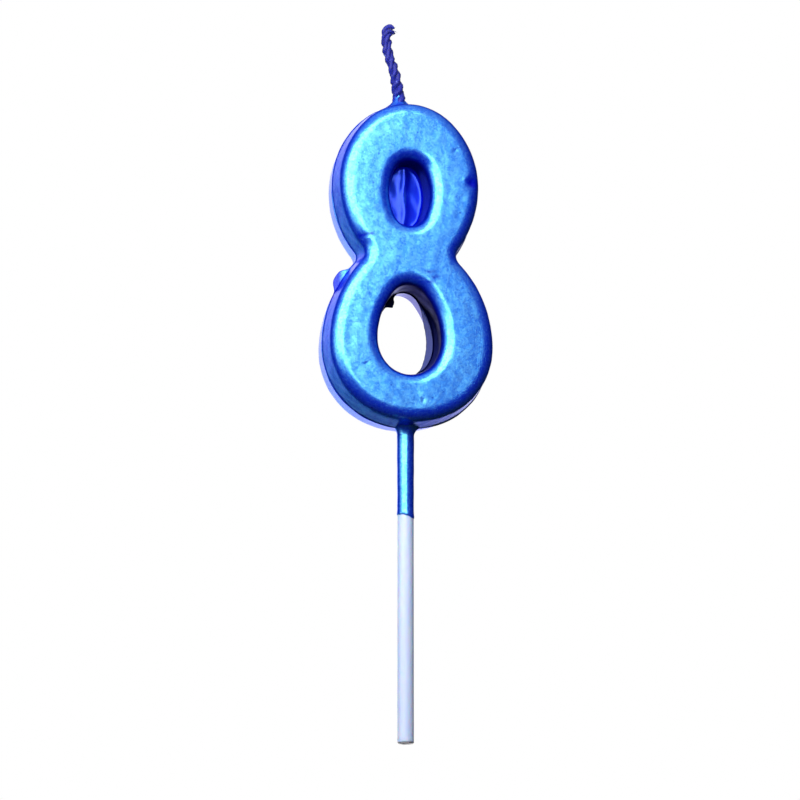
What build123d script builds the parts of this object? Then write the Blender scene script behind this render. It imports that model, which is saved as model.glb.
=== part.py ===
from build123d import *
import math
import os

# Number birthday candle: a moulded wax "8" with a metallic coat, a cotton wick and a plastic stick.
# The stick stands along Z. The numeral's front looks along -Y and X is to its right.
# The origin is the middle of the stick's lower end, the end that goes into the cake.

# driving sizes, mm
halfThickness = 5.0
draftDegrees = 5.0
edgeRadius = 1.65
coatThickness = 0.1
stickRadius = 1.1
shankFootRadius = 1.08
shankEndRadius = 0.95
shoulderHeight = 30.4
exposedStick = 42.5
embeddedStick = 5.0
sleeveFootRadius = 1.13
sleeveHeadRadius = 1.15
dipLineHeight = 30.75
dipLineTilt = 14.0
wickRadius = 0.62

# ovals in the mid plane, heights from the numeral's lowest point:
# half width, height where it is widest, head and its radius, foot and its radius
bowl = (11.5, 11.2, 26.7, 5.75, 0.35, 12.75)
crown = (9.85, 33.2, 44.65, 8.65, 20.5, 7.95)
upperEye = (2.45, 32.1, 36.2, 2.0, 27.8, 2.0)
lowerEye = (4.05, 11.9, 19.05, 2.35, 7.35, 3.85)
notchHeight = 23.6
notchReach = 1.5
notchRadius = 1.2

# flash left by the two-part mould
seamProud = 0.15
seamHalfThickness = 0.2
webHalfThickness = 0.3
webOverlap = 0.3
wickRidgeRadius = 0.9
wickRidgeOverrun = 0.5
flashTabX = -8.0
flashTabHeight = 20.6
flashTabRadius = 1.75

# lacquer drawn up round the stick under the numeral
meniscusRadius = 1.9
meniscusHeight = 0.8
meniscusHead = 1.0

# wick's middle line in the mid plane: x, and height from the numeral's lowest point
wickRoute = [(0, 22.5), (0, 37), (-1.05, 44.2), (-2.3, 51.2), (-2.62, 54.4), (-2.05, 56.1)]
wickBendRadii = [30, 40, 12, 1.6]


def sideJoint(halfWidth, reach, endRadius):
    """Where an oval's end arc meets its side arc: distance out, and distance along from the centre."""
    side = (halfWidth**2 + reach**2 - 2 * reach * endRadius) / (2 * (halfWidth - endRadius))
    across = (side - halfWidth) / (side - endRadius)
    along = (reach - endRadius) / (side - endRadius)
    return endRadius * across, reach - endRadius + endRadius * along


def oval(shape, grow=0):
    """Oval of tangent arcs, widest at its centre height, moved outwards all round by grow."""
    halfWidth, centre, head, headRadius, foot, footRadius = shape
    side = halfWidth + grow
    headX, headRise = sideJoint(side, head + grow - centre, headRadius + grow)
    footX, footDrop = sideJoint(side, centre - foot + grow, footRadius + grow)
    headY = centre + headRise
    footY = centre - footDrop
    edges = [
        ThreePointArc((headX, headY), (0, head + grow), (-headX, headY)),
        ThreePointArc((footX, footY), (0, foot - grow), (-footX, footY)),
    ]
    for widest in (side, -side):
        sign = math.copysign(1, widest)
        edges.append(TangentArc((widest, centre), (sign * headX, headY), tangent=(0, 1)))
        edges.append(TangentArc((widest, centre), (sign * footX, footY), tangent=(0, -1)))
    return make_face(edges)


def outline(grow=0):
    """The figure's outer line: two ovals run together, with a small fillet in each notch."""
    both = oval(bowl, grow) + oval(crown, grow)
    notches = [v for v in both.vertices() if abs(v.Y - notchHeight) < notchReach and abs(v.X) > bowl[0] / 2]
    return fillet(notches, notchRadius - grow)


def drafted(face, depth, degrees):
    """Straight prism on the mid plane whose walls then lean in by the draft; a negative draft leans out."""
    prism = extrude(face, amount=depth)
    walls = [f for f in prism.faces() if abs(f.normal_at().Z) < 0.5]
    return draft(walls, Plane.XY, degrees)


def halfNumeral(inset):
    """One half of the numeral, from the mid plane to its flat face, drafted and rounded."""
    depth = halfThickness - inset
    shift = inset / math.cos(math.radians(draftDegrees))
    half = drafted(outline(-shift), depth, draftDegrees)
    for eye in (upperEye, lowerEye):
        half -= drafted(oval(eye, shift), depth, -draftDegrees)
    rim = half.faces().sort_by(Axis.Z)[-1].edges()
    return fillet(rim, edgeRadius - inset)


def midPlate(face, halfDepth):
    """A thin plate on both sides of the mid plane."""
    return extrude(face, amount=halfDepth, both=True)


def wickAt(radius):
    """Round solid along the wick's line, with flat ends."""
    points = [(x, y, 0) for x, y in wickRoute]
    path = FilletPolyline(*points, radius=wickBendRadii)
    return sweep(Plane(origin=points[0], z_dir=(0, 1, 0)) * Circle(radius), path=path)


def webRidge(radius):
    """Rib that the wick raises where it crosses the web in the upper eye."""
    head = upperEye[2] + wickRidgeOverrun
    foot = upperEye[4] - wickRidgeOverrun
    return Location((0, foot, 0), (-90, 0, 0)) * extrude(Circle(radius), amount=head - foot)


def numeral(inset):
    """The whole figure lying in XY: both halves, the parting seam, the web and the flash."""
    half = halfNumeral(inset)
    shift = inset / math.cos(math.radians(draftDegrees))
    figure = half + mirror(half, about=Plane.XY)
    seam = outline(seamProud - shift) - oval(lowerEye, shift - seamProud)
    figure += midPlate(seam, seamHalfThickness - inset)
    figure += midPlate(oval(upperEye, shift + webOverlap), webHalfThickness - inset)
    figure += webRidge(wickRidgeRadius - inset)
    tab = Pos(flashTabX, flashTabHeight) * Circle(flashTabRadius - shift)
    return figure + midPlate(tab, seamHalfThickness - inset)


def upright(piece):
    """Stand a piece modelled in XY up on the stick: its Y becomes the height."""
    return Pos(0, 0, exposedStick) * Rot(90, 0, 0) * piece


def standingCone(footRadius, headRadius, foot, head):
    """Round taper on the stick's axis between two heights."""
    cone = Cone(footRadius, headRadius, head - foot, align=(Align.CENTER, Align.CENTER, Align.MIN))
    return Pos(0, 0, foot) * cone


def stick():
    """Plastic rod: the bare straight end, then a slightly tapered shank under the coat and in the wax."""
    shank = standingCone(shankFootRadius, shankEndRadius, shoulderHeight, exposedStick + embeddedStick)
    return extrude(Circle(stickRadius), amount=shoulderHeight) + shank


def stickLacquer():
    """Sleeve on the stick, cut off by the slanted dip line, up to the lacquer under the numeral."""
    head = exposedStick - meniscusHeight
    sleeve = standingCone(sleeveFootRadius, sleeveHeadRadius, shoulderHeight, head) - stick()
    dipLine = Plane(origin=(0, 0, dipLineHeight)).rotated((0, dipLineTilt, 0))
    return split(sleeve, dipLine, keep=Keep.TOP)


def meniscus():
    """Lacquer drawn up round the stick where it enters the numeral, with its head inside the numeral."""
    foot = exposedStick - meniscusHeight
    return standingCone(sleeveHeadRadius, meniscusRadius, foot, exposedStick + meniscusHead)


os.makedirs("parts", exist_ok=True)
outer = upright(numeral(0))
core = upright(numeral(coatThickness))
thread = upright(wickAt(wickRadius))
nodes = {
    "candle_wax": core - stick() - thread,
    "body_lacquer": outer + meniscus() - core - stick() - thread,
    "wick": thread,
    "stick": stick(),
    "stick_lacquer": stickLacquer(),
}
for name, solid in nodes.items():
    export_step(solid, f"parts/{name}.step")
    print(name, round(solid.volume, 2), "mm3,", len(solid.solids()), "solid")
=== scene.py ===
# Number birthday candle: dipped wax numeral, twisted cotton wick, moulded stick
# Blender 4.5. Shapes are worked out in millimetres and written to the meshes in metres.
import math

import bmesh
import bpy
import numpy as np
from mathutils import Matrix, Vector


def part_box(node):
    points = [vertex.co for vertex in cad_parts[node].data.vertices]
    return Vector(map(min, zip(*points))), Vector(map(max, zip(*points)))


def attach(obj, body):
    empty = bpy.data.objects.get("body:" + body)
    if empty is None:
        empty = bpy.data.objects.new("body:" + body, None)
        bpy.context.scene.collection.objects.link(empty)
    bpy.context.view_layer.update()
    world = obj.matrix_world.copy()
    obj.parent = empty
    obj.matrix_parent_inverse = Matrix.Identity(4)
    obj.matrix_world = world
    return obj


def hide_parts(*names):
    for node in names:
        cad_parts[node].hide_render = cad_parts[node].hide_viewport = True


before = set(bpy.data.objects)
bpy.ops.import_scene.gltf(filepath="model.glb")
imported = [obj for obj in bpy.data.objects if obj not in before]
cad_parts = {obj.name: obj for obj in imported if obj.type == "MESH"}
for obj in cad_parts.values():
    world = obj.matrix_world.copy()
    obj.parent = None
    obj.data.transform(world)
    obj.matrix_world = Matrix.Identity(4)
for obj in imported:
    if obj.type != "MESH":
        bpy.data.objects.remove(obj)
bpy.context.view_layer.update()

mm = 0.001

# heights and sizes that the frame gives, in mm
coatLow, coatHigh = (np.array(corner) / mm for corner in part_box("body_lacquer"))
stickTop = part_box("stick")[1][2] / mm
meniscusReach = 0.8                                   # the coat's box includes the lacquer round the stick
baseHeight = coatLow[2] + meniscusReach               # lowest point of the numeral itself
print("frame loaded, numeral stands at", round(float(baseHeight), 2), "mm")


def toLinear(hexColour):
    parts = [int(hexColour[i:i + 2], 16) / 255 for i in (1, 3, 5)]
    return [c / 12.92 if c <= 0.04045 else ((c + 0.055) / 1.055) ** 2.4 for c in parts] + [1.0]


def addNode(tree, kind, settings=None, links=None):
    node = tree.nodes.new(kind)
    for name, value in (settings or {}).items():
        if isinstance(name, str) and hasattr(node, name) and name not in node.inputs:
            setattr(node, name, value)
        else:
            node.inputs[name].default_value = value
    for name, source in (links or {}).items():
        tree.links.new(source, node.inputs[name])
    return node


def gridFaces(rows, columns, start=0, closed=True):
    # quads of a grid whose vertices run along the columns first; closed joins the last column to the first
    across = np.arange(columns if closed else columns - 1)
    row, column = np.meshgrid(np.arange(rows - 1), across, indexing="ij")
    beside = (column + 1) % columns
    here, above = row * columns, (row + 1) * columns
    return np.stack([here + column, here + beside, above + beside, above + column], -1).reshape(-1, 4) + start


def buildPiece(name, patches, weld=0.004):
    # patches: grids of points in mm, each with whether it is closed round, welded where their edges meet
    points, faces, start = [], [], 0
    for grid, closed in patches:
        rows, columns = grid.shape[:2]
        points.append(grid.reshape(-1, 3))
        faces.append(gridFaces(rows, columns, start, closed))
        start += rows * columns
    points, faces = np.concatenate(points), np.concatenate(faces)
    mesh = bpy.data.meshes.new(name)
    mesh.from_pydata((points * mm).tolist(), [], faces.tolist())
    work = bmesh.new()
    work.from_mesh(mesh)
    bmesh.ops.remove_doubles(work, verts=work.verts, dist=weld * mm)
    bmesh.ops.dissolve_degenerate(work, edges=work.edges, dist=1e-7)
    bmesh.ops.recalc_face_normals(work, faces=work.faces)
    work.to_mesh(mesh)
    work.free()
    mesh.shade_smooth()
    piece = bpy.data.objects.new(name, mesh)
    bpy.context.scene.collection.objects.link(piece)
    return piece


numeral = {
    "halfThick": float((coatHigh[1] - coatLow[1]) / 2),
    "draft": 5.0,             # degrees, so that it leaves the mould
    "rounding": 1.65,
    "dome": 0.02,             # the flat faces stand proud by this, in the middle of a stroke
    "domeReach": 1.6,
    "finProud": 0.1, "finThick": 0.12,
    "tabAt": (-8.3, 20.0), "tabProud": 0.85, "tabReach": 1.5,    # lump of flash beside the waist
    "tearProud": 0.75, "tearAt": 0.585, "tearReach": 0.03,       # torn flash high on the left of the open eye
    "sliverProud": 0.8, "sliverAt": 0.235, "sliverReach": 0.14,  # smooth flash left along its right wall
    "webHalfThick": 0.3, "webFillet": 0.35,
    "ridgeReach": 0.527, "ridgeProud": 0.26,                     # rib that the wick raises on the web
    "lean": -0.3,             # the crown sits this far to one side
    "lowerEyeShift": -0.3,
    "waviness": 0.01, "fineWaviness": 0.012,
    "coatThickness": 0.12,    # how far the wax lies under the coat's surface
    "columns": {"crown": 220, "bowl": 250, "waist": 38},         # points round each oval and across the waist
}

# half width, height where it is widest, foot and its radius, head and its radius, in mm
ovals = {
    "bowl": (11.5, 11.2, 0.35, 12.75, 26.7, 5.75),
    "crown": (9.85, 33.2, 20.5, 7.95, 44.65, 8.65),
    "upperEye": (2.45, 32.1, 27.8, 2.0, 36.2, 2.0),
    "lowerEye": (4.05, 11.9, 7.35, 3.85, 19.05, 2.35),
}
bowlHead = ovals["bowl"][4]
notchRadius = 1.2


def sideRadius(halfWidth, reach, endRadius):
    # radius of the side arc that is upright at the widest point and shares a tangent with the end arc
    return (halfWidth ** 2 + reach ** 2 - 2 * reach * endRadius) / (2 * (halfWidth - endRadius))


def ovalArcs(halfWidth, centre, foot, footRadius, head, headRadius):
    # right-hand arcs from the foot up to the head: centre across, centre up, radius
    lower = sideRadius(halfWidth, centre - foot, footRadius)
    upper = sideRadius(halfWidth, head - centre, headRadius)
    return [
        (0, foot + footRadius, footRadius),
        (halfWidth - lower, centre, lower),
        (halfWidth - upper, centre, upper),
        (0, head - headRadius, headRadius),
    ]


def figureArcs():
    # two ovals run together, and in the notch an arc that touches both, hollow, so with a negative radius
    bowl, crown = ovalArcs(*ovals["bowl"]), ovalArcs(*ovals["crown"])
    flank, under = bowl[2], crown[1]
    flankAt = np.array(flank[:2])
    gap = np.array(under[:2]) - flankAt
    apart = np.hypot(*gap)
    # the notch's centre is one notch radius outside both arcs
    fromFlank, fromUnder = flank[2] + notchRadius, under[2] + notchRadius
    along = (fromFlank ** 2 - fromUnder ** 2 + apart * apart) / (2 * apart)
    across = math.sqrt(fromFlank ** 2 - along * along)
    unit = gap / apart
    notchAt = flankAt + unit * along + np.array([unit[1], -unit[0]]) * across
    return bowl[:3] + [(notchAt[0], notchAt[1], -notchRadius)] + crown[1:]


class ArcLoop:
    # closed line of tangent arcs, mirrored left to right. A point at length s lies on its arc at
    # centre + radius * (cos a, sin a), with the angle a growing by length / radius.
    def __init__(self, arcs, shift=0.0):
        self.shift = np.array([shift, 0.0])
        centres = np.array([[x, z] for x, z, r in arcs])
        radii = np.array([r for x, z, r in arcs])
        steps = centres[1:] - centres[:-1]
        units = steps / np.maximum(np.hypot(*steps.T), 1e-9)[:, None]
        sizes = np.abs(radii)
        outward = np.where((radii[:-1] * radii[1:] < 0) | (sizes[:-1] > sizes[1:]), 1, -1)
        joints = centres[:-1] + units * (outward * sizes[:-1])[:, None]
        ends = np.concatenate([[centres[0] - [0, radii[0]]], joints, [centres[-1] + [0, radii[-1]]]])
        fromHere, toNext = ends[:-1] - centres, ends[1:] - centres
        self.start = np.arctan2(fromHere[:, 1], fromHere[:, 0])
        stop = np.arctan2(toNext[:, 1], toNext[:, 0])
        turn = (stop - self.start + math.pi) % (2 * math.pi) - math.pi
        self.reach = np.concatenate([[0], np.cumsum(np.abs(turn) * sizes)])
        self.centres, self.radii, self.sizes, self.way = centres, radii, sizes, np.sign(turn)
        self.half = self.reach[-1]
        self.length = 2 * self.half

    def at(self, s):
        # points and outward normals at lengths s, measured from the foot up the right side and round
        s = np.mod(s, self.length)
        left = s > self.half
        t = np.where(left, self.length - s, s)
        i = np.clip(np.searchsorted(self.reach, t, side="right") - 1, 0, len(self.radii) - 1)
        angle = self.start[i] + self.way[i] * (t - self.reach[i]) / self.sizes[i]
        spoke = np.stack([np.cos(angle), np.sin(angle)], -1)
        point = self.centres[i] + self.sizes[i][:, None] * spoke
        normal = spoke * np.sign(self.radii[i])[:, None]
        mirror = np.stack([np.where(left, -1.0, 1.0), np.ones_like(s)], -1)
        return point * mirror + self.shift, normal * mirror


def edgeProfile(inset):
    # half of the stroke's edge, from the parting line to the flat face: how far in, and how deep.
    # A drafted wall leans in by depth * tan(draft), then an arc of the rounding turns it into the face.
    n = numeral
    depth, round_ = n["halfThick"] - inset, n["rounding"] - inset
    lean = math.radians(n["draft"])
    centreIn = round_ * math.cos(lean) + (depth - round_ + round_ * math.sin(lean)) * math.tan(lean)
    wallTop = depth - round_ + round_ * math.sin(lean)
    wall = np.concatenate([[0, 0.03, 0.06, 0.1, 0.15, 0.22, 0.32], np.linspace(0.5, wallTop, 9)])
    turn = np.linspace(lean, math.pi / 2, 12)[1:]
    inwards = np.concatenate([wall * math.tan(lean), centreIn - round_ * np.cos(turn)])
    deep = np.concatenate([wall, depth - round_ + round_ * np.sin(turn)])
    return inwards + inset / math.cos(lean), deep


figure = ArcLoop(figureArcs())
upperEye = ArcLoop(ovalArcs(*ovals["upperEye"]))
lowerEye = ArcLoop(ovalArcs(*ovals["lowerEye"]), numeral["lowerEyeShift"])


def raggedLine(s, length, waves, seed):
    # sum of sines round a closed line, each with its own phase, scaled to lie between -1 and 1
    phases = np.random.default_rng(seed).uniform(0, 2 * math.pi, len(waves))
    turns = 2 * math.pi * np.asarray(s)[..., None] / length
    return np.sin(turns * np.array(waves) + phases).mean(-1) * 1.6


def hump(x, centre, width):
    return np.exp(-(((x - centre) / width) ** 2))


def standUp(flat, depth):
    # flat points (across, up) and a depth towards the front become x, y, z
    return np.stack([flat[..., 0], -depth, flat[..., 1]], -1)


def strokeWall(loop, s, profile, side, fin):
    # profile carried round a loop: point + side * normal * inwards, with the mould's fin raised at the
    # parting line. side is -1 on the outer line, where inwards leads back along the normal, and 1 in an eye.
    inwards, deep = profile
    point, normal = loop.at(s)
    fins = fin[None, :] * np.exp(-((deep / numeral["finThick"]) ** 2))[:, None]
    flat = point[None] + side * normal[None] * (inwards[:, None] - fins)[..., None]
    front = standUp(flat, np.broadcast_to(deep[:, None], flat.shape[:2]))
    back = front * np.array([1, -1, 1])
    return np.concatenate([front[::-1], back[1:]])


def faceEdge(loop, s, reachIn, side):
    point, normal = loop.at(s)
    return point + side * normal * reachIn


def eyeColumns(loop, around, reachIn):
    # lengths on the eye whose face-edge points lie at the same angles, seen from the eye's middle, as the
    # points around it
    dense = np.linspace(0, loop.length, 1200, endpoint=False)
    edge = faceEdge(loop, dense, reachIn, 1)
    middle = (edge.min(0) + edge.max(0)) / 2
    angle = np.unwrap(np.arctan2(*(edge - middle).T[::-1]))
    wanted = np.arctan2(*(around - middle).T[::-1])
    wanted = angle[0] + np.mod(wanted - angle[0], 2 * math.pi)
    return np.interp(wanted, np.append(angle, angle[0] + 2 * math.pi), np.append(dense, loop.length))


def nearest(points, lines):
    # distance from each point to the closest of the sampled edge points
    blocks = np.array_split(points.reshape(-1, 2), 12)        # in parts, to spare memory
    parts = [np.sqrt(((block[:, None] - lines[None]) ** 2).sum(-1)).min(1) for block in blocks]
    return np.concatenate(parts).reshape(points.shape[:-1])


def outerFin(s):
    # how far the mould's fin stands out along the outer line, with the lump of flash beside the waist
    n = numeral
    fin = n["finProud"] * (1 + 0.35 * raggedLine(s, figure.length, (5, 8, 13, 21, 34), 5))
    line = np.linspace(0, figure.length, 2000)
    tabS = line[np.argmin(((figure.at(line)[0] - n["tabAt"]) ** 2).sum(1))]
    fin += n["tabProud"] * np.exp(-(((np.mod(s, figure.length) - tabS) / n["tabReach"]) ** 4))
    return np.clip(fin, 0.02, 1.3)


def lowerEyeFin(s):
    # the fin in the open eye, torn high on the left and with a smooth sliver along the right wall
    n = numeral
    ragged = raggedLine(s, lowerEye.length, (3, 5, 8, 13, 21, 34), 9)
    along = s / lowerEye.length
    torn = n["tearProud"] * hump(along, n["tearAt"], n["tearReach"])
    sliver = n["sliverProud"] * np.exp(-(((along - n["sliverAt"]) / n["sliverReach"]) ** 4))
    return np.clip(0.1 + 0.03 * ragged + torn * (1 + 0.5 * ragged) + sliver, 0.03, 1.2)


def numeralPatches(inset, detail):
    # every patch of the closed surface, inset below the lacquer's; detail scales the column counts
    n = numeral
    inwards, deep = edgeProfile(inset)
    reachIn = inwards[-1]
    finSunk = 0.2 * min(inset, 0.1)                           # the wax's own fin is a little lower
    shoulder = (figure.reach[3] + figure.reach[4]) / 2        # middle of the notch, up the right side
    crownCount, bowlCount = int(n["columns"]["crown"] * detail), int(n["columns"]["bowl"] * detail)
    crownS = np.linspace(shoulder, figure.length - shoulder, crownCount, endpoint=False)
    bowlS = np.linspace(figure.length - shoulder, figure.length + shoulder, bowlCount, endpoint=False)
    outerS = np.concatenate([crownS, bowlS])
    patches = [(strokeWall(figure, outerS, (inwards, deep), -1, outerFin(outerS) - finSunk), True)]

    dense = [faceEdge(figure, np.linspace(0, figure.length, 700), reachIn, -1)]
    dense += [faceEdge(eye, np.linspace(0, eye.length, 260), reachIn, 1) for eye in (upperEye, lowerEye)]
    dense = np.concatenate(dense)
    waist = np.linspace(0, 1, int(n["columns"]["waist"] * detail) + 2)[1:-1, None]

    for lengths, eye in ((crownS, upperEye), (bowlS, lowerEye)):
        # flat face between a stretch of the outer line, the bridge across the waist and one eye
        rim = faceEdge(figure, np.append(lengths, lengths[-1] + (lengths[1] - lengths[0])), reachIn, -1)
        rim = np.concatenate([rim, rim[-1] * (1 - waist) + rim[0] * waist])
        eyeS = eyeColumns(eye, rim, reachIn)
        inner = faceEdge(eye, eyeS, reachIn, 1)
        t = np.linspace(0, 1, 11)[:, None, None]
        flat = rim[None] * (1 - t) + inner[None] * t
        dome = n["dome"] * (1 - np.exp(-((nearest(flat, dense) / n["domeReach"]) ** 2)))
        front = standUp(flat, deep[-1] + dome)
        patches += [(front, True), (front * np.array([1, -1, 1]), True)]
        if eye is lowerEye:
            patches.append((strokeWall(eye, eyeS, (inwards, deep), 1, lowerEyeFin(eyeS) - finSunk), True))
        else:
            patches += eyePocket(eye, eyeS, (inwards, deep), inset)
    return patches


def eyePocket(loop, s, profile, inset):
    # blind eye: the wall runs down to a thin web in the parting plane, with a small fillet, and the web's
    # polar grid closes on its middle. The wick raises a rib on it: proud * exp(-(across / reach)^2).
    n = numeral
    inwards, deep = profile
    lean = math.radians(n["draft"])
    floor = n["webHalfThick"] - inset
    fillet = n["webFillet"] + inset
    start = inset / math.cos(lean)
    centreDeep = floor + fillet
    centreIn = start + centreDeep * math.tan(lean) - fillet / math.cos(lean)
    turn = np.linspace(-lean, -math.pi / 2, 6)
    keep = deep > centreDeep - fillet * math.sin(lean) + 0.02
    wallIn, wallDeep = inwards[keep][::-1], deep[keep][::-1]
    rowsIn = np.concatenate([wallIn, centreIn + fillet * np.cos(turn)])
    rowsDeep = np.concatenate([wallDeep, centreDeep + fillet * np.sin(turn)])
    point, normal = loop.at(s)
    flat = point[None] + normal[None] * rowsIn[:, None, None]
    middle = flat[-1].mean(0)
    t = np.linspace(0, 1, 15)[1:, None, None]
    web = flat[-1][None] * (1 - t) + middle * t
    flat = np.concatenate([flat, web])
    depth = np.concatenate([rowsDeep, np.full(len(web), floor)])[:, None] + np.zeros(flat.shape[:2])
    across = flat[..., 0] - 0.12 * np.sin(flat[..., 1] * 1.3)
    onWeb = np.clip((centreDeep + 1.1 - depth) / 1.1, 0, 1)
    depth = depth + onWeb * n["ridgeProud"] * np.exp(-((across / n["ridgeReach"]) ** 2))
    depth = depth + onWeb * 0.03 * np.sin(2.1 * flat[..., 0] + 1.7 * flat[..., 1])
    front = standUp(flat, depth)
    return [(front, True), (front * np.array([1, -1, 1]), True)]


def waves(points, lengths, seed, count=7):
    # smooth unevenness: plane waves in random directions, each with a wavelength drawn from the range in mm
    draw = np.random.default_rng(seed)
    way = draw.normal(size=(count, 3))
    way /= np.linalg.norm(way, axis=1)[:, None]
    rate = 2 * math.pi / draw.uniform(*lengths, count)
    phase = draw.uniform(0, 2 * math.pi, count)
    return np.sin(points @ (way * rate[:, None]).T + phase).mean(1) * 1.5


# knocks and moulding faults: middle (across, depth, up), reach along x, y, z, and how far in they go;
# minus is proud
knocks = {
    "chippedEdge": ((8.3, -4.1, 33.6), (0.5, 1.0, 0.7), 0.6),
    "chippedEdgeLip": ((7.45, -4.6, 33.9), (0.22, 0.6, 0.6), -0.12),
    "chippedEdgeTail": ((8.2, -3.6, 32.1), (0.3, 0.7, 0.25), 0.2),
    "coldShut": ((-6.5, -5.0, 25.65), (1.05, 0.8, 0.16), 0.05),
    "thumbDent": ((5.8, -5.0, 6.2), (2.4, 1.5, 1.9), 0.04),
    "sinkOverStick": ((0.2, -5.0, 3.8), (1.8, 1.5, 2.2), 0.03),
    "sinkLeft": ((-8.6, -5.0, 12.5), (1.3, 1.5, 3.5), 0.03),
    "pit": ((6.1, -5.1, 37.9), (0.2, 0.6, 0.2), 0.1),
    "pitLow": ((1.3, -5.1, 3.3), (0.22, 0.6, 0.16), 0.1),
    "pitLeft": ((-6.5, -5.1, 8.0), (0.18, 0.6, 0.18), 0.09),
    "rearDent": ((3.2, 5.0, 26.4), (1.9, 1.2, 1.2), 0.12),
    "rearNick": ((-9.2, 3.9, 8.5), (0.5, 0.8, 0.35), 0.25),
    "rearSink": ((-0.4, 5.0, 41.0), (2.6, 1.5, 1.4), 0.08),
}


def roughen(piece):
    # moves each vertex along its normal by the unevenness and the knocks, leans the crown, and sets the
    # numeral on its stick
    mesh = piece.data
    count = len(mesh.vertices)
    points, normals = np.empty(count * 3), np.empty(count * 3)
    mesh.vertices.foreach_get("co", points)
    mesh.vertex_normals.foreach_get("vector", normals)
    points, normals = points.reshape(-1, 3) / mm, normals.reshape(-1, 3)
    push = numeral["waviness"] * waves(points, (3.5, 9.0), 21)
    push += numeral["fineWaviness"] * waves(points, (1.1, 2.2), 22)
    for middle, reach, depth in knocks.values():
        away = (((points - middle) / np.array(reach)) ** 2).sum(1)
        push -= depth * np.exp(-away)
    points += normals * push[:, None]
    lift = np.clip((points[:, 2] - 19) / 9, 0, 1)
    points[:, 0] += numeral["lean"] * lift * lift * (3 - 2 * lift)
    points[:, 2] += baseHeight
    mesh.vertices.foreach_set("co", (points * mm).ravel())
    mesh.update()


numeralCoat = buildPiece("numeral_coat", numeralPatches(0.0, 1.0))
roughen(numeralCoat)
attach(numeralCoat, "root")
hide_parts("body_lacquer")
print("numeral coat:", len(numeralCoat.data.polygons), "faces")

waxCore = buildPiece("wax_core", numeralPatches(numeral["coatThickness"], 0.5))
roughen(waxCore)
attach(waxCore, "root")
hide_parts("candle_wax")
print("wax core:", len(waxCore.data.polygons), "faces")


wick = {
    "route": [(0.0, 21.8), (0.0, 26.0), (0.0, 31.0), (0.0, 36.0), (-0.4, 41.0), (-0.85, 44.6), (-1.0, 47.0),
              (-1.35, 49.0), (-2.0, 51.0), (-2.5, 53.0), (-2.7, 54.4), (-2.45, 55.25), (-1.55, 55.6)],
    # share of the length, and thickness there: thin inside the wax, thickest where it comes out
    "girth": ((0, 0.55), (0.6, 0.6), (0.66, 1.5), (0.72, 1.38), (0.84, 1.1), (1, 1.15)),
    "plies": 3, "plyRadius": 0.36, "plyOffset": 0.27,
    "rows": 300, "columns": 20,
    "pitch": 4.3,             # mm of wick for one full turn of the twist
    "yarns": 5,               # grooves round each ply
    "frayFrom": 0.945,        # share of the length
    "fibres": 34, "tipFibres": 9, "fibreRadius": 0.045, "fibreRoot": 0.38, "fibreCeiling": 56.2,
}


def splineThrough(route, t):
    # Catmull-Rom curve through the route's points, t from 0 to 1; each span blends its four nearest points
    # with cubics
    p = np.array(route, float)
    p = np.concatenate([[2 * p[0] - p[1]], p, [2 * p[-1] - p[-2]]])
    spans = len(route) - 1
    where = np.clip(t, 0, 1) * spans
    i = np.minimum(where.astype(int), spans - 1)
    u = (where - i)[:, None]
    a, b, c, d = p[i], p[i + 1], p[i + 2], p[i + 3]
    bend, twist = 2 * a - 5 * b + 4 * c - d, 3 * b - a - 3 * c + d
    return 0.5 * (2 * b + (c - a) * u + bend * u ** 2 + twist * u ** 3)


def evenLine(route, count):
    # the same curve at evenly spaced lengths, with two side vectors; side one is near the Y axis
    t = np.linspace(0, 1, 900)
    raw = splineThrough(route, t)
    gone = np.concatenate([[0], np.cumsum(np.hypot(*np.diff(raw, axis=0).T[:2]))])
    at = np.linspace(0, gone[-1], count)
    flat = splineThrough(route, np.interp(at, gone, t))
    # it sways a little to the front and back, once it is out of the wax
    sway = 0.06 * np.sin(flat[:, 1] * 1.1) * np.clip((flat[:, 1] - 44) / 3, 0, 1)
    line = np.stack([flat[:, 0], sway, flat[:, 1]], -1)
    tangent = np.gradient(line, axis=0)
    tangent /= np.linalg.norm(tangent, axis=1)[:, None]
    sideOne = np.array([0, 1.0, 0]) - tangent * tangent[:, 1:2]
    sideOne /= np.linalg.norm(sideOne, axis=1)[:, None]
    return line, at, sideOne, np.cross(tangent, sideOne)


def sweep(line, sideOne, sideTwo, radius):
    # closed tube: centre + radius(row, angle) * (cos angle * sideOne + sin angle * sideTwo), with its ends
    # drawn in to a point
    columns = radius.shape[1]
    angle = np.linspace(0, 2 * math.pi, columns, endpoint=False)
    ring = np.cos(angle)[None, :, None] * sideOne[:, None] + np.sin(angle)[None, :, None] * sideTwo[:, None]
    tube = line[:, None] + radius[..., None] * ring
    first = np.broadcast_to(line[0], (1, columns, 3))
    last = np.broadcast_to(line[-1], (1, columns, 3))
    return np.concatenate([first, tube, last])


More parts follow.
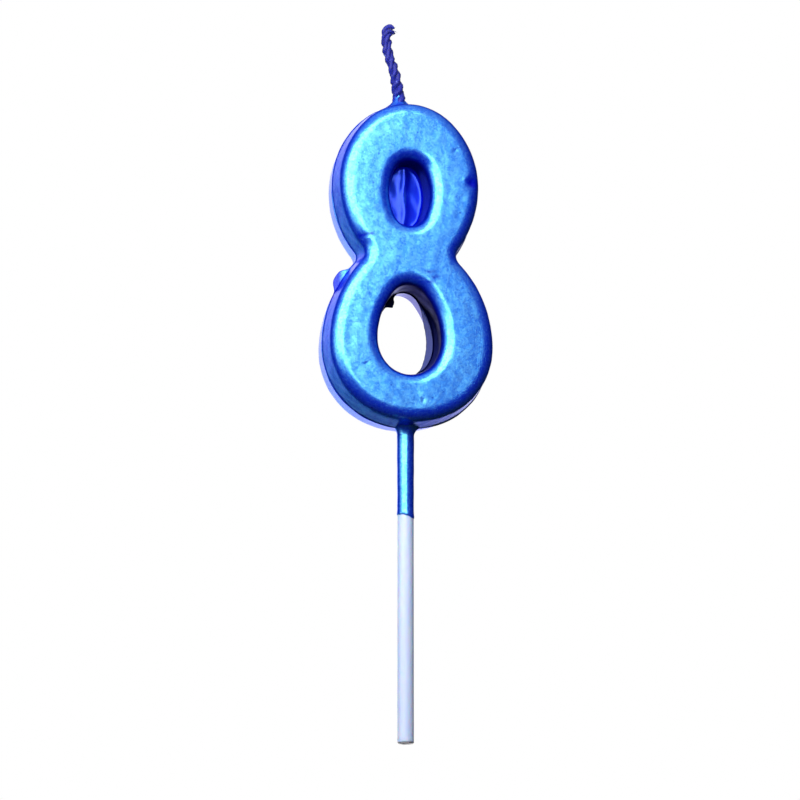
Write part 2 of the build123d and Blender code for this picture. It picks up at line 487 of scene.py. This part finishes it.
def wickPlies():
    # each ply winds round the wick's line on a helix and carries a few yarn grooves that twist the other way
    w = wick
    line, at, sideOne, sideTwo = evenLine(w["route"], w["rows"])
    share = at / at[-1]
    girth = np.interp(share, *np.transpose(w["girth"]))
    fray = np.clip((share - w["frayFrom"]) / (1 - w["frayFrom"]), 0, 1)
    pinch = np.sqrt(np.clip(1 - ((share - 0.5) / 0.5) ** 60, 0, 1)) * 0.92 + 0.08
    angle = np.linspace(0, 2 * math.pi, w["columns"], endpoint=False)
    tubes = []
    for ply in range(w["plies"]):
        loose = 1 + fray * (0.9, 1.5, 0.5)[ply]
        turn = 2 * math.pi * (at / w["pitch"] + ply / w["plies"]) + 0.25 * np.sin(at * 0.9 + ply)
        offset = (w["plyOffset"] * girth * loose * (1 + 0.22 * np.sin(at * 1.7 + 2 * ply)))[:, None]
        middle = line + offset * (np.cos(turn)[:, None] * sideOne + np.sin(turn)[:, None] * sideTwo)
        middle = middle - fray[:, None] ** 2 * np.array([0, 0, (0.0, 0.22, 0.1)[ply]])
        groove = np.abs(np.sin(w["yarns"] / 2 * (angle[None] + 2.2 * turn[:, None])))
        lumps = 1 + 0.11 * (np.sin(at * 2.9 + ply * 2) + np.sin(at * 5.3 + ply))[:, None]
        thin = girth * pinch * (1 - 0.25 * fray)
        radius = w["plyRadius"] * lumps * (0.86 + 0.16 * groove) * thin[:, None]
        tubes.append((sweep(middle, sideOne, sideTwo, radius), True))
    return tubes


def strayFibres():
    # short cotton hairs: each leaves the wick's side and curls away, a thin tapering tube
    w = wick
    draw = np.random.default_rng(31)
    line, _, sideOne, sideTwo = evenLine(w["route"], w["rows"])
    hairs = []
    for k in range(w["fibres"]):
        tip = k < w["tipFibres"]
        # row of the wick that the hair leaves from
        i = w["rows"] - 4 - draw.integers(0, 8) if tip else draw.integers(215, 292)
        turn = draw.uniform(0, 2 * math.pi)
        out = math.cos(turn) * sideOne[i] + math.sin(turn) * sideTwo[i]
        along = np.cross(sideOne[i], sideTwo[i]) * draw.choice([-1, 1], p=[0.1, 0.9] if tip else [0.4, 0.6])
        size = draw.uniform(0.35, 0.8) if tip else draw.uniform(0.2, 0.45)
        u = np.linspace(0, 1, 9)[:, None]
        drop = np.array([draw.uniform(0.0, 0.5), 0, draw.uniform(-0.45, 0.0)])
        path = line[i] + out * w["fibreRoot"] + size * (u * (0.7 * along + 0.35 * out) + u ** 2 * drop)
        path[:, 2] = np.minimum(path[:, 2], w["fibreCeiling"])
        radius = w["fibreRadius"] * np.sqrt(np.clip(1.02 - u, 0, 1)) * np.ones((1, 5))
        hairs.append((sweep(path, np.tile(out, (9, 1)), np.tile(np.cross(along, out), (9, 1)), radius), True))
    return hairs


def settle(piece, rise):
    # lifts a piece worked out above the numeral's lowest point, or the stick's foot, into place
    mesh = piece.data
    points = np.empty(len(mesh.vertices) * 3)
    mesh.vertices.foreach_get("co", points)
    points = points.reshape(-1, 3)
    points[:, 2] += rise * mm
    mesh.vertices.foreach_set("co", points.ravel())
    mesh.update()


wickPiece = buildPiece("cotton_wick", wickPlies() + strayFibres(), weld=0.001)
settle(wickPiece, baseHeight)
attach(wickPiece, "root")
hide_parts("wick")
print("wick:", len(wickPiece.data.polygons), "faces")


collars = {
    "sides": 48,
    "wickHeight": 44.35, "wickRise": 2.5, "wickRadius": 0.5, "wickSpread": 1.5,
    "stickTop": 0.75, "stickDrop": 1.1, "stickRadius": 1.12, "stickSpread": 0.95,
}


def wickCollar():
    # lacquer drawn up the wick's root: radius = wick + spread * (1 - height)^2.4, wavier towards its foot
    c = collars
    t = np.linspace(0, 1, 26)
    angle = np.linspace(0, 2 * math.pi, c["sides"], endpoint=False)
    height = c["wickHeight"] + t * c["wickRise"]
    route = np.array(wick["route"])
    across = np.interp(height, route[:, 1], route[:, 0])
    wave = 1 + 0.16 * np.sin(3 * angle + 0.6) + 0.1 * np.sin(5 * angle + 2.0)
    radius = c["wickRadius"] + c["wickSpread"] * ((1 - t) ** 2.4)[:, None] * wave
    radius += 0.03 * np.sin(7 * angle + 9 * t[:, None])
    x = across[:, None] + radius * np.cos(angle) * (1 + 0.25 * (1 - t[:, None]) ** 2)
    y = radius * np.sin(angle) * 0.85
    z = height[:, None] + 0.12 * t[:, None] * np.sin(2 * angle + 1.0)
    shell = np.stack([x, y, z + 0 * x], -1)
    foot = np.broadcast_to([across[0], 0, c["wickHeight"] - 0.5], (1, c["sides"], 3))
    head = np.broadcast_to([across[-1], 0, height[-1]], (1, c["sides"], 3))
    return [(np.concatenate([foot, shell, head]), True)]


def stickCollar():
    # the coat's meniscus under the numeral: radius = sleeve + spread * (1 - drop)^3, thicker on the right
    c = collars
    t = np.linspace(0, 1, 22)
    angle = np.linspace(0, 2 * math.pi, c["sides"], endpoint=False)
    wave = 1 + 0.35 * np.cos(angle) + 0.12 * np.sin(3 * angle)
    radius = c["stickRadius"] + c["stickSpread"] * ((1 - t) ** 3)[:, None] * wave
    z = c["stickTop"] - t[:, None] * (c["stickTop"] + c["stickDrop"]) + 0 * radius
    shell = np.stack([radius * np.cos(angle), radius * np.sin(angle), z], -1)
    head = np.broadcast_to([0, 0, 1.2], (1, c["sides"], 3))
    foot = np.broadcast_to([0, 0, -c["stickDrop"] - 0.05], (1, c["sides"], 3))
    return [(np.concatenate([head, shell, foot]), True)]


def placeCollar(name, patches):
    collar = buildPiece(name, patches)
    settle(collar, baseHeight)
    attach(collar, "root")
    return collar


wickCollarPiece = placeCollar("wick_collar", wickCollar())
stickCollarPiece = placeCollar("stick_collar", stickCollar())
print("collars done")


stickSizes = {
    "tipRadius": 1.1, "radius": 1.08, "shoulder": 31, "topRadius": 0.97,
    "endRounding": 0.22, "endHollow": 0.05, "burr": 0.05, "mouldLine": 0.01,
    "sides": 64,
}
sleeveSizes = {
    "dipHeight": 30.75, "slant": 0.27, "bead": 0.045, "film": 0.045,
    "inner": 1.04, "innerTop": 1.0, "stick": 1.085,
    "sides": 96,
}


def turnedSkin(heights, radii, columns, shapeAround):
    # profile spun about the stick's axis, with a factor that may change with angle and height
    angle = np.linspace(0, 2 * math.pi, columns, endpoint=False)
    radius = radii[:, None] * shapeAround(angle[None], heights[:, None])
    return np.stack([radius * np.cos(angle), radius * np.sin(angle), heights[:, None] + 0 * radius], -1)


def stickAround(angle, height):
    # two faint mould lines, a touch of ovality, and a cut nib on the lower end
    lines = stickSizes["mouldLine"] * hump(np.sin(angle), 0, 0.12)
    nib = stickSizes["burr"] * np.exp(-(height / 0.35) ** 2) * np.clip(np.cos(angle - 0.7), 0, 1) ** 3
    return 1 + lines + nib + 0.006 * np.cos(2 * angle) + 0.004 * np.sin(height * 0.7 + angle)


def stickSkin():
    # rounded foot, then a shank that tapers slightly, more above the coat's edge; the lower end is hollow
    # by endHollow * (1 - distance out)^2, with a ripple
    s = stickSizes
    bend = np.linspace(0, math.pi / 2, 7)
    foot = s["endRounding"] * (1 - np.cos(bend)), s["tipRadius"] - s["endRounding"] * (1 - np.sin(bend))
    body = np.linspace(s["endRounding"] + 0.3, stickTop, 110)
    heights = np.concatenate([foot[0], body])
    shank = np.interp(body, [0, s["shoulder"], stickTop], [s["tipRadius"], s["radius"], s["topRadius"]])
    skin = turnedSkin(heights, np.concatenate([foot[1], shank]), s["sides"], stickAround)
    angle = np.linspace(0, 2 * math.pi, s["sides"], endpoint=False)
    rim = skin[0]
    t = np.linspace(0, 1, 6)[:-1, None, None]
    cap = rim[None] * t
    inward = 1 - t[..., 0]
    ripple = 0.048 * np.sin(5 * angle)[None] * inward * t[..., 0]
    cap[..., 2] = np.maximum(s["endHollow"] * inward ** 2 + ripple, 0)
    top = np.broadcast_to([0, 0, stickTop], (1, s["sides"], 3))
    return [(np.concatenate([cap, skin, top]), True)]


def sleeveSkin():
    # film on the stick: its lower edge is z = dip height - slant * cos(angle), a little uneven, and ends in
    # a rounded bead
    s = sleeveSizes
    angle = np.linspace(0, 2 * math.pi, s["sides"], endpoint=False)
    edge = s["dipHeight"] - s["slant"] * np.cos(angle)
    edge += 0.05 * np.sin(3 * angle + 1) + 0.025 * np.sin(8 * angle)
    top = baseHeight - 0.6
    t = np.concatenate([np.linspace(0, 0.03, 12), np.linspace(0.03, 1, 70)[1:]])
    height = edge + t[:, None] * (top - edge)
    rise = (height - edge) / 0.16
    film = s["film"] * np.sqrt(np.clip(1 - (1 - np.clip(rise, 0, 1)) ** 2, 0, 1))
    bead = s["bead"] * hump(height - edge, 0.3, 0.28)
    runs = 0.018 * np.sin(2 * angle + height * 0.35) * np.clip(rise / 6, 0, 1)
    runs += 0.01 * np.sin(height * 1.9 + angle)
    radius = s["stick"] + film + bead + runs * np.clip(rise / 4, 0, 1)
    shell = np.stack([radius * np.cos(angle), radius * np.sin(angle), height], -1)
    circle = np.stack([np.cos(angle), np.sin(angle)], -1)
    inner = np.column_stack([s["inner"] * circle, edge + 0.02])[None]
    innerTop = np.column_stack([s["innerTop"] * circle, np.full(s["sides"], top)])[None]
    return [(np.concatenate([innerTop, inner, shell, innerTop]), True)]


stickPiece = buildPiece("plastic_stick", stickSkin(), weld=0.002)
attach(stickPiece, "root")
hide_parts("stick")
sleevePiece = buildPiece("stick_sleeve", sleeveSkin(), weld=0.001)
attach(sleevePiece, "root")
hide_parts("stick_lacquer")
print("stick and sleeve done")


# where the coat is rubbed or broken, with painted shade in the waist's crease and a patch painted dark over
# the lump of flash: middle (across, depth, up), reach along x, y, z, and how far it has gone
wornAndShadeSpots = [
    ((8.2, -4.2, 33.5), (0.8, 1.6, 0.8), 1.5),       # chipped edge, right of the upper bowl
    ((7.3, -5.0, 33.9), (0.45, 0.8, 0.3), 0.7),
    ((-7.1, -4.9, 25.6), (0.9, 1.0, 0.24), 1.2),      # painted shade in the crease at the left of the waist
    ((-5.9, -5.0, 25.85), (0.6, 0.8, 0.2), 1.0),
    ((2.2, -5.0, 21.0), (0.75, 0.8, 0.22), 1.0),      # three scratches under the waist
    ((3.0, -5.0, 20.3), (0.65, 0.8, 0.24), 1.1),
    ((2.3, -5.0, 19.6), (0.6, 0.8, 0.2), 0.9),
    ((1.6, -5.0, 3.2), (0.28, 0.7, 0.2), 0.7),        # pits
    ((6.0, -5.0, 37.6), (0.22, 0.7, 0.22), 0.6),
    ((-6.6, -5.0, 8.1), (0.2, 0.6, 0.2), 0.6),
    ((-7.9, -4.8, 13.6), (0.9, 0.6, 0.1), 0.45),
    ((-10.4, 0.0, 20.8), (1.5, 1.3, 2.6), 2.2),       # lump of flash beside the waist, painted dark all over
]


def localPoints(piece):
    # vertices in mm, heights from the numeral's lowest point
    points = np.empty(len(piece.data.vertices) * 3)
    piece.data.vertices.foreach_get("co", points)
    return points.reshape(-1, 3) / mm - [0, 0, baseHeight]


def saveMask(piece, name, values):
    layer = piece.data.attributes.new(name, "FLOAT", "POINT")
    layer.data.foreach_set("value", np.clip(values, 0, 1).astype(np.float32))


def wearAndShadeMask(piece):
    # share of broken coat and painted shade at each vertex: the largest of the spots' depth * exp(-(distance
    # / reach)^2)
    points = localPoints(piece)
    mask = np.zeros(len(points))
    for middle, reach, depth in wornAndShadeSpots:
        away = (((points - middle) / np.array(reach)) ** 2).sum(1)
        mask = np.maximum(mask, depth * np.exp(-away))
    saveMask(piece, "wornAndShade", mask)


def poolAndShadeMask(piece):
    # share of pooled coat and painted shade: full on the eyes' walls and the web, fading out towards the flat
    # faces. The shaded share is painted shade alone, on the walls without the upper eye's web
    points = localPoints(piece)
    lines = [eye.at(np.linspace(0, eye.length, 200))[0] for eye in (upperEye, lowerEye)]
    away = nearest(points[:, [0, 2]] - [numeral["lean"] / 2, 0], np.concatenate(lines))
    depth = np.abs(points[:, 1])
    wall = np.clip((lacquerLook["poolAndShadeDepth"] - depth) / lacquerLook["poolAndShadeFade"], 0, 1)
    pooledAndShade = wall * np.clip((lacquerLook["poolAndShadeReach"] - away) / 0.5, 0, 1)
    onWeb = (points[:, 2] > bowlHead) * np.clip((0.95 - depth) / 0.25, 0, 1)
    saveMask(piece, "pooledAndShade", pooledAndShade)
    saveMask(piece, "shaded", pooledAndShade * (1 - onWeb))


def newMaterial(name):
    material = bpy.data.materials.new(name)
    material.use_nodes = True
    material.node_tree.nodes.clear()
    tree = material.node_tree
    return material, tree, addNode(tree, "ShaderNodeTexCoord").outputs["Object"]


lacquerLook = {
    "flake": "#74dcee",        # what the metal flakes give back
    "flakeDim": "#4cb2e0",
    "dye": "#0416ff",          # blue dye between the flakes
    # broken coat; it is also the painted shade in the waist's crease and the dark patch on the lump of flash
    "brokenAndShade": "#08204e",
    "dyeShare": 0.38,
    "edgeTint": "#2050ff",     # metal seen through more and more dye as it turns away
    "flakeSize": 0.26,         # real flakes are under 0.05 mm, drawn coarser so that they show
    "blotchSize": 3.2,         # uneven drying of a dipped coat, mm
    "speckSpacing": 1.7,       # dust and pinholes caught in the coat, mm
    "peelSize": 0.9,           # wavelength of the coat's unevenness, mm
    "peelStrength": 0.22,
    "pooledAndShade": "#0a38b8",       # darker in the eyes: the dip gathers there, plus painted shade
    # painted shade: the eyes' walls darker still, in the flakes and in the dye
    "wall": "#061650",
    "wallShadeDye": "#020638",
    "poolAndShadeDepth": 4.7, "poolAndShadeFade": 1.3, "poolAndShadeReach": 2.7,
}


def dippedMetallicLacquer():
    # Nitrocellulose lacquer with aluminium flake and blue dye, put on by dipping. The flakes give a broad
    # bright sheen that drops away at the rounded edges, where the dye alone shows, glossy and dark.
    k = lacquerLook
    material, tree, place = newMaterial("dipped metallic lacquer")
    cells = addNode(tree, "ShaderNodeTexVoronoi", {"Scale": 1 / (k["flakeSize"] * mm)}, {"Vector": place})
    grain = addNode(tree, "ShaderNodeTexNoise", {"Scale": 0.7 / (k["flakeSize"] * mm), "Detail": 3},
                    {"Vector": place})
    blotch = addNode(tree, "ShaderNodeTexNoise", {"Scale": 1 / (k["blotchSize"] * mm), "Detail": 4},
                     {"Vector": place})
    peel = addNode(tree, "ShaderNodeTexNoise", {"Scale": 1 / (k["peelSize"] * mm), "Detail": 2},
                   {"Vector": place})
    dust = addNode(tree, "ShaderNodeTexVoronoi", {"Scale": 1 / (k["speckSpacing"] * mm)}, {"Vector": place})
    glint = addNode(tree, "ShaderNodeSeparateColor", links={"Color": cells.outputs["Color"]})
    fine = addNode(tree, "ShaderNodeMath", {"operation": "ADD"},
                   {0: glint.outputs["Red"], 1: grain.outputs["Fac"]})
    tone = addNode(tree, "ShaderNodeMath", {"operation": "ADD"},
                   {0: fine.outputs[0], 1: blotch.outputs["Fac"]})
    share = addNode(tree, "ShaderNodeMapRange", {"From Min": 1.05, "From Max": 1.95},
                    {"Value": tone.outputs[0]})
    flake = addNode(tree, "ShaderNodeMix", {"data_type": "RGBA", 6: toLinear(k["flakeDim"]),
                                            7: toLinear(k["flake"])}, {0: share.outputs[0]})
    speck = addNode(tree, "ShaderNodeMapRange",
                    {"From Min": 0.05, "From Max": 0.11, "To Min": 0.55, "To Max": 0.0},
                    {"Value": dust.outputs["Distance"]})
    # broken coat and dust specks, plus painted shade in the waist's crease and the dark patch on the lump of
    # flash
    wornAndShade = addNode(tree, "ShaderNodeAttribute", {"attribute_name": "wornAndShade"})
    lostAndShade = addNode(tree, "ShaderNodeMath", {"operation": "MAXIMUM"},
                   {0: speck.outputs[0], 1: wornAndShade.outputs["Fac"]})
    # pooled dip and painted shade in the eyes, then painted shade alone on the eyes' walls
    poolAndShadeNode = addNode(tree, "ShaderNodeAttribute", {"attribute_name": "pooledAndShade"})
    poolAndShadeColour = addNode(tree, "ShaderNodeMix", {"data_type": "RGBA", 7: toLinear(k["pooledAndShade"])},
                    {0: poolAndShadeNode.outputs["Fac"], 6: flake.outputs[2]})
    shade = addNode(tree, "ShaderNodeAttribute", {"attribute_name": "shaded"})
    deep = addNode(tree, "ShaderNodeMix", {"data_type": "RGBA", 7: toLinear(k["wall"])},
                   {0: shade.outputs["Fac"], 6: poolAndShadeColour.outputs[2]})
    seen = addNode(tree, "ShaderNodeMix", {"data_type": "RGBA", 7: toLinear(k["brokenAndShade"])},
                   {0: lostAndShade.outputs[0], 6: deep.outputs[2]})
    skin = addNode(tree, "ShaderNodeBump", {"Strength": k["peelStrength"], "Distance": 0.02 * mm},
                   {"Height": peel.outputs["Fac"]})
    grit = addNode(tree, "ShaderNodeBump", {"Strength": 0.5, "Distance": 0.02 * mm},
                   {"Height": fine.outputs[0], "Normal": skin.outputs[0]})
    metal = addNode(tree, "ShaderNodeBsdfPrincipled",
                    {"Metallic": 1.0, "Roughness": 0.29, "Specular Tint": toLinear(k["edgeTint"])},
                    {"Base Color": seen.outputs[2], "Normal": grit.outputs[0]})
    # painted shade: the dye is darker on the eyes' walls
    dyed = addNode(tree, "ShaderNodeMix",
                   {"data_type": "RGBA", 6: toLinear(k["dye"]), 7: toLinear(k["wallShadeDye"])},
                   {0: shade.outputs["Fac"]})
    dye = addNode(tree, "ShaderNodeBsdfPrincipled", {"Roughness": 0.2},
                  {"Base Color": dyed.outputs[2], "Normal": skin.outputs[0]})
    both = addNode(tree, "ShaderNodeMixShader", {0: k["dyeShare"]},
                   {1: metal.outputs[0], 2: dye.outputs[0]})
    addNode(tree, "ShaderNodeOutputMaterial", links={"Surface": both.outputs[0]})
    return material


cottonLook = {
    "dyed": "#0a1ca6", "shadow": "#040a5c", "bare": "#8aa2f4",
    "yarnWidth": 0.13,         # fibres are nearer 0.02 mm, drawn coarser so that they show
    "dryPatch": 1.1,           # mm
}


def lacqueredCottonYarn():
    # Bleached cotton wick, spun and soaked in the blue dip: matt and nearly black in the grooves, with paler
    # hairs where the dip has not gone in.
    k = cottonLook
    material, tree, place = newMaterial("spun cotton soaked in lacquer")
    strand = addNode(tree, "ShaderNodeTexNoise", {"Scale": 1 / (k["yarnWidth"] * mm), "Detail": 3},
                     {"Vector": place})
    patch = addNode(tree, "ShaderNodeTexNoise", {"Scale": 1 / (k["dryPatch"] * mm), "Detail": 3},
                    {"Vector": place})
    depth = addNode(tree, "ShaderNodeMapRange", {"From Min": 0.35, "From Max": 0.65},
                    {"Value": strand.outputs["Fac"]})
    bare = addNode(tree, "ShaderNodeMapRange", {"From Min": 0.62, "From Max": 0.72, "To Max": 0.5},
                   {"Value": patch.outputs["Fac"]})
    wet = addNode(tree, "ShaderNodeMix",
                  {"data_type": "RGBA", 6: toLinear(k["shadow"]), 7: toLinear(k["dyed"])},
                  {0: depth.outputs[0]})
    colour = addNode(tree, "ShaderNodeMix", {"data_type": "RGBA", 7: toLinear(k["bare"])},
                     {0: bare.outputs[0], 6: wet.outputs[2]})
    fuzz = addNode(tree, "ShaderNodeBump", {"Strength": 0.5, "Distance": 0.04 * mm},
                   {"Height": strand.outputs["Fac"]})
    yarn = addNode(tree, "ShaderNodeBsdfPrincipled", {"Roughness": 0.6, "Sheen Weight": 0.06},
                   {"Base Color": colour.outputs[2], "Normal": fuzz.outputs[0]})
    addNode(tree, "ShaderNodeOutputMaterial", links={"Surface": yarn.outputs[0]})
    return material


waxLook = {"wax": "#2f5fc9", "pale": "#5f86dc", "crystal": 1.6}        # crystal: size of the cloudy grain, mm


def mouldedParaffin():
    # Paraffin wax, dyed and poured: soft and a little see-through, with a cloudy grain from slow cooling.
    k = waxLook
    material, tree, place = newMaterial("moulded paraffin wax")
    cloud = addNode(tree, "ShaderNodeTexNoise", {"Scale": 1 / (k["crystal"] * mm), "Detail": 4},
                    {"Vector": place})
    colour = addNode(tree, "ShaderNodeMix",
                     {"data_type": "RGBA", 6: toLinear(k["wax"]), 7: toLinear(k["pale"])},
                     {0: cloud.outputs["Fac"]})
    grain = addNode(tree, "ShaderNodeBump", {"Strength": 0.15, "Distance": 0.05 * mm},
                    {"Height": cloud.outputs["Fac"]})
    wax = addNode(tree, "ShaderNodeBsdfPrincipled",
                  {"Roughness": 0.45, "IOR": 1.44, "Subsurface Weight": 0.3, "Subsurface Scale": 0.001},
                  {"Base Color": colour.outputs[2], "Normal": grain.outputs[0]})
    addNode(tree, "ShaderNodeOutputMaterial", links={"Surface": wax.outputs[0]})
    return material


stickLook = {"plastic": "#d3e0fc", "cloudy": "#bccdf6", "flowLine": 0.5}        # flowLine: width in mm


def mouldedPolypropylene():
    # Natural polypropylene, injection moulded: milky white with a cool cast, satin, with faint flow lines.
    k = stickLook
    material, tree, place = newMaterial("moulded polypropylene")
    drawn = addNode(tree, "ShaderNodeMapping", {"Scale": (1.0, 1.0, 0.12)}, {"Vector": place})
    flow = addNode(tree, "ShaderNodeTexNoise", {"Scale": 1 / (k["flowLine"] * mm), "Detail": 3},
                   {"Vector": drawn.outputs[0]})
    colour = addNode(tree, "ShaderNodeMix",
                     {"data_type": "RGBA", 6: toLinear(k["plastic"]), 7: toLinear(k["cloudy"])},
                     {0: flow.outputs["Fac"]})
    satin = addNode(tree, "ShaderNodeBump", {"Strength": 0.12, "Distance": 0.02 * mm},
                    {"Height": flow.outputs["Fac"]})
    rod = addNode(tree, "ShaderNodeBsdfPrincipled",
                  {"Roughness": 0.34, "IOR": 1.49, "Subsurface Weight": 0.5, "Subsurface Scale": 0.0012},
                  {"Base Color": colour.outputs[2], "Normal": satin.outputs[0]})
    addNode(tree, "ShaderNodeOutputMaterial", links={"Surface": rod.outputs[0]})
    return material


wearAndShadeMask(numeralCoat)
poolAndShadeMask(numeralCoat)
lacquer = dippedMetallicLacquer()
finishes = {
    numeralCoat: lacquer, wickCollarPiece: lacquer, stickCollarPiece: lacquer, sleevePiece: lacquer,
    waxCore: mouldedParaffin(), wickPiece: lacqueredCottonYarn(), stickPiece: mouldedPolypropylene(),
}
for piece, finish in finishes.items():
    piece.data.materials.clear()
    piece.data.materials.append(finish)
print("materials on", len(finishes), "pieces")


studio = {
    # soft patches: direction, the cosines from it where a patch starts and where it is full, and strength
    "behind": ((0.0, 1.0, 0.05), 0.86, 0.955, 2.4),
    "above": ((0.0, -0.35, 1.0), 0.45, 0.95, 0.55),
    "left": ((-0.93, -0.36, 0.25), 0.75, 0.97, 0.5),
    "fill": 0.025,
    "aimHeight": 0.066,        # where both softboxes point, on the candle's axis, m
    "front": {"at": (-0.065, -0.14, 0.125), "size": (0.2, 0.15), "watts": 0.5},
    "side": {"at": (-0.17, -0.08, 0.09), "size": (0.12, 0.14), "watts": 0.07},
}


def studioWorld():
    # plain white straight behind, a soft patch overhead and one at the left, dark elsewhere
    world = bpy.data.worlds.new("studio")
    world.use_nodes = True
    tree = world.node_tree
    tree.nodes.clear()
    where = addNode(tree, "ShaderNodeTexCoord").outputs["Generated"]
    total = addNode(tree, "ShaderNodeMath", {"operation": "ADD", 0: studio["fill"], 1: 0.0})
    for name in ("behind", "above", "left"):
        direction, start, full, strength = studio[name]
        toward = addNode(tree, "ShaderNodeVectorMath",
                         {"operation": "DOT_PRODUCT", 1: Vector(direction).normalized()}, {0: where})
        patch = addNode(tree, "ShaderNodeMapRange", {"interpolation_type": "SMOOTHSTEP", "From Min": start,
                                                     "From Max": full, "To Max": strength},
                        {"Value": toward.outputs["Value"]})
        total = addNode(tree, "ShaderNodeMath", {"operation": "ADD"},
                        {0: patch.outputs[0], 1: total.outputs[0]})
    lit = addNode(tree, "ShaderNodeBackground", links={"Strength": total.outputs[0]})
    white = addNode(tree, "ShaderNodeBackground", {"Color": (1, 1, 1, 1)})
    path = addNode(tree, "ShaderNodeLightPath")
    both = addNode(tree, "ShaderNodeMixShader", links={0: path.outputs["Is Camera Ray"], 1: lit.outputs[0],
                                                       2: white.outputs[0]})
    lit.inputs["Color"].default_value = (1, 1, 1, 1)
    addNode(tree, "ShaderNodeOutputWorld", links={"Surface": both.outputs[0]})
    return world


def softbox(name, at, size, watts):
    lamp = bpy.data.lights.new(name, "AREA")
    lamp.shape = "RECTANGLE"
    lamp.size, lamp.size_y = size
    lamp.energy = watts
    box = bpy.data.objects.new(name, lamp)
    box.location = at
    toCandle = Vector((0, 0, studio["aimHeight"])) - Vector(at)
    box.rotation_euler = toCandle.to_track_quat("-Z", "Y").to_euler()
    box.visible_camera = False
    bpy.context.scene.collection.objects.link(box)


def paleFloor():
    # a wide pale sheet well below the candle, which is held up in the air as if by its cake
    reach, depth = 4.0, -0.3
    mesh = bpy.data.meshes.new("floor")
    corners = [(-reach, -reach), (reach, -reach), (reach, reach), (-reach, reach)]
    mesh.from_pydata([(x, y, depth) for x, y in corners], [], [(0, 1, 2, 3)])
    floor = bpy.data.objects.new("floor", mesh)
    bpy.context.scene.collection.objects.link(floor)
    material = bpy.data.materials.new("matt white board")
    material.use_nodes = True
    shader = material.node_tree.nodes["Principled BSDF"]
    board = toLinear("#f4f4f6")
    for socket, value in (("Base Color", board), ("Emission Color", board), ("Roughness", 0.9),
                          ("Emission Strength", 0.85)):
        shader.inputs[socket].default_value = value
    mesh.materials.append(material)
    floor.visible_glossy = False
    floor.visible_diffuse = False


bpy.context.scene.world = studioWorld()
bpy.context.scene.view_settings.view_transform = "Standard"
softbox("front_softbox", **studio["front"])
softbox("side_softbox", **studio["side"])
paleFloor()
print("studio lit")

# a long lens from a little to the left and below
view = {"azimuth": -13.0, "elevation": -12.0, "distance": 1.2, "lens": 402.0,
        "aim": (-0.00072, 0.00017, 0.0468)}
turn, rise = math.radians(view["azimuth"]), math.radians(view["elevation"])
away = Vector((math.sin(turn) * math.cos(rise), -math.cos(turn) * math.cos(rise), math.sin(rise)))
camera = bpy.data.objects.new("camera", bpy.data.cameras.new("camera"))
camera.data.lens = view["lens"]
camera.location = Vector(view["aim"]) + away * view["distance"]
camera.rotation_euler = (-away).to_track_quat("-Z", "Y").to_euler()
bpy.context.scene.collection.objects.link(camera)
bpy.context.scene.camera = camera
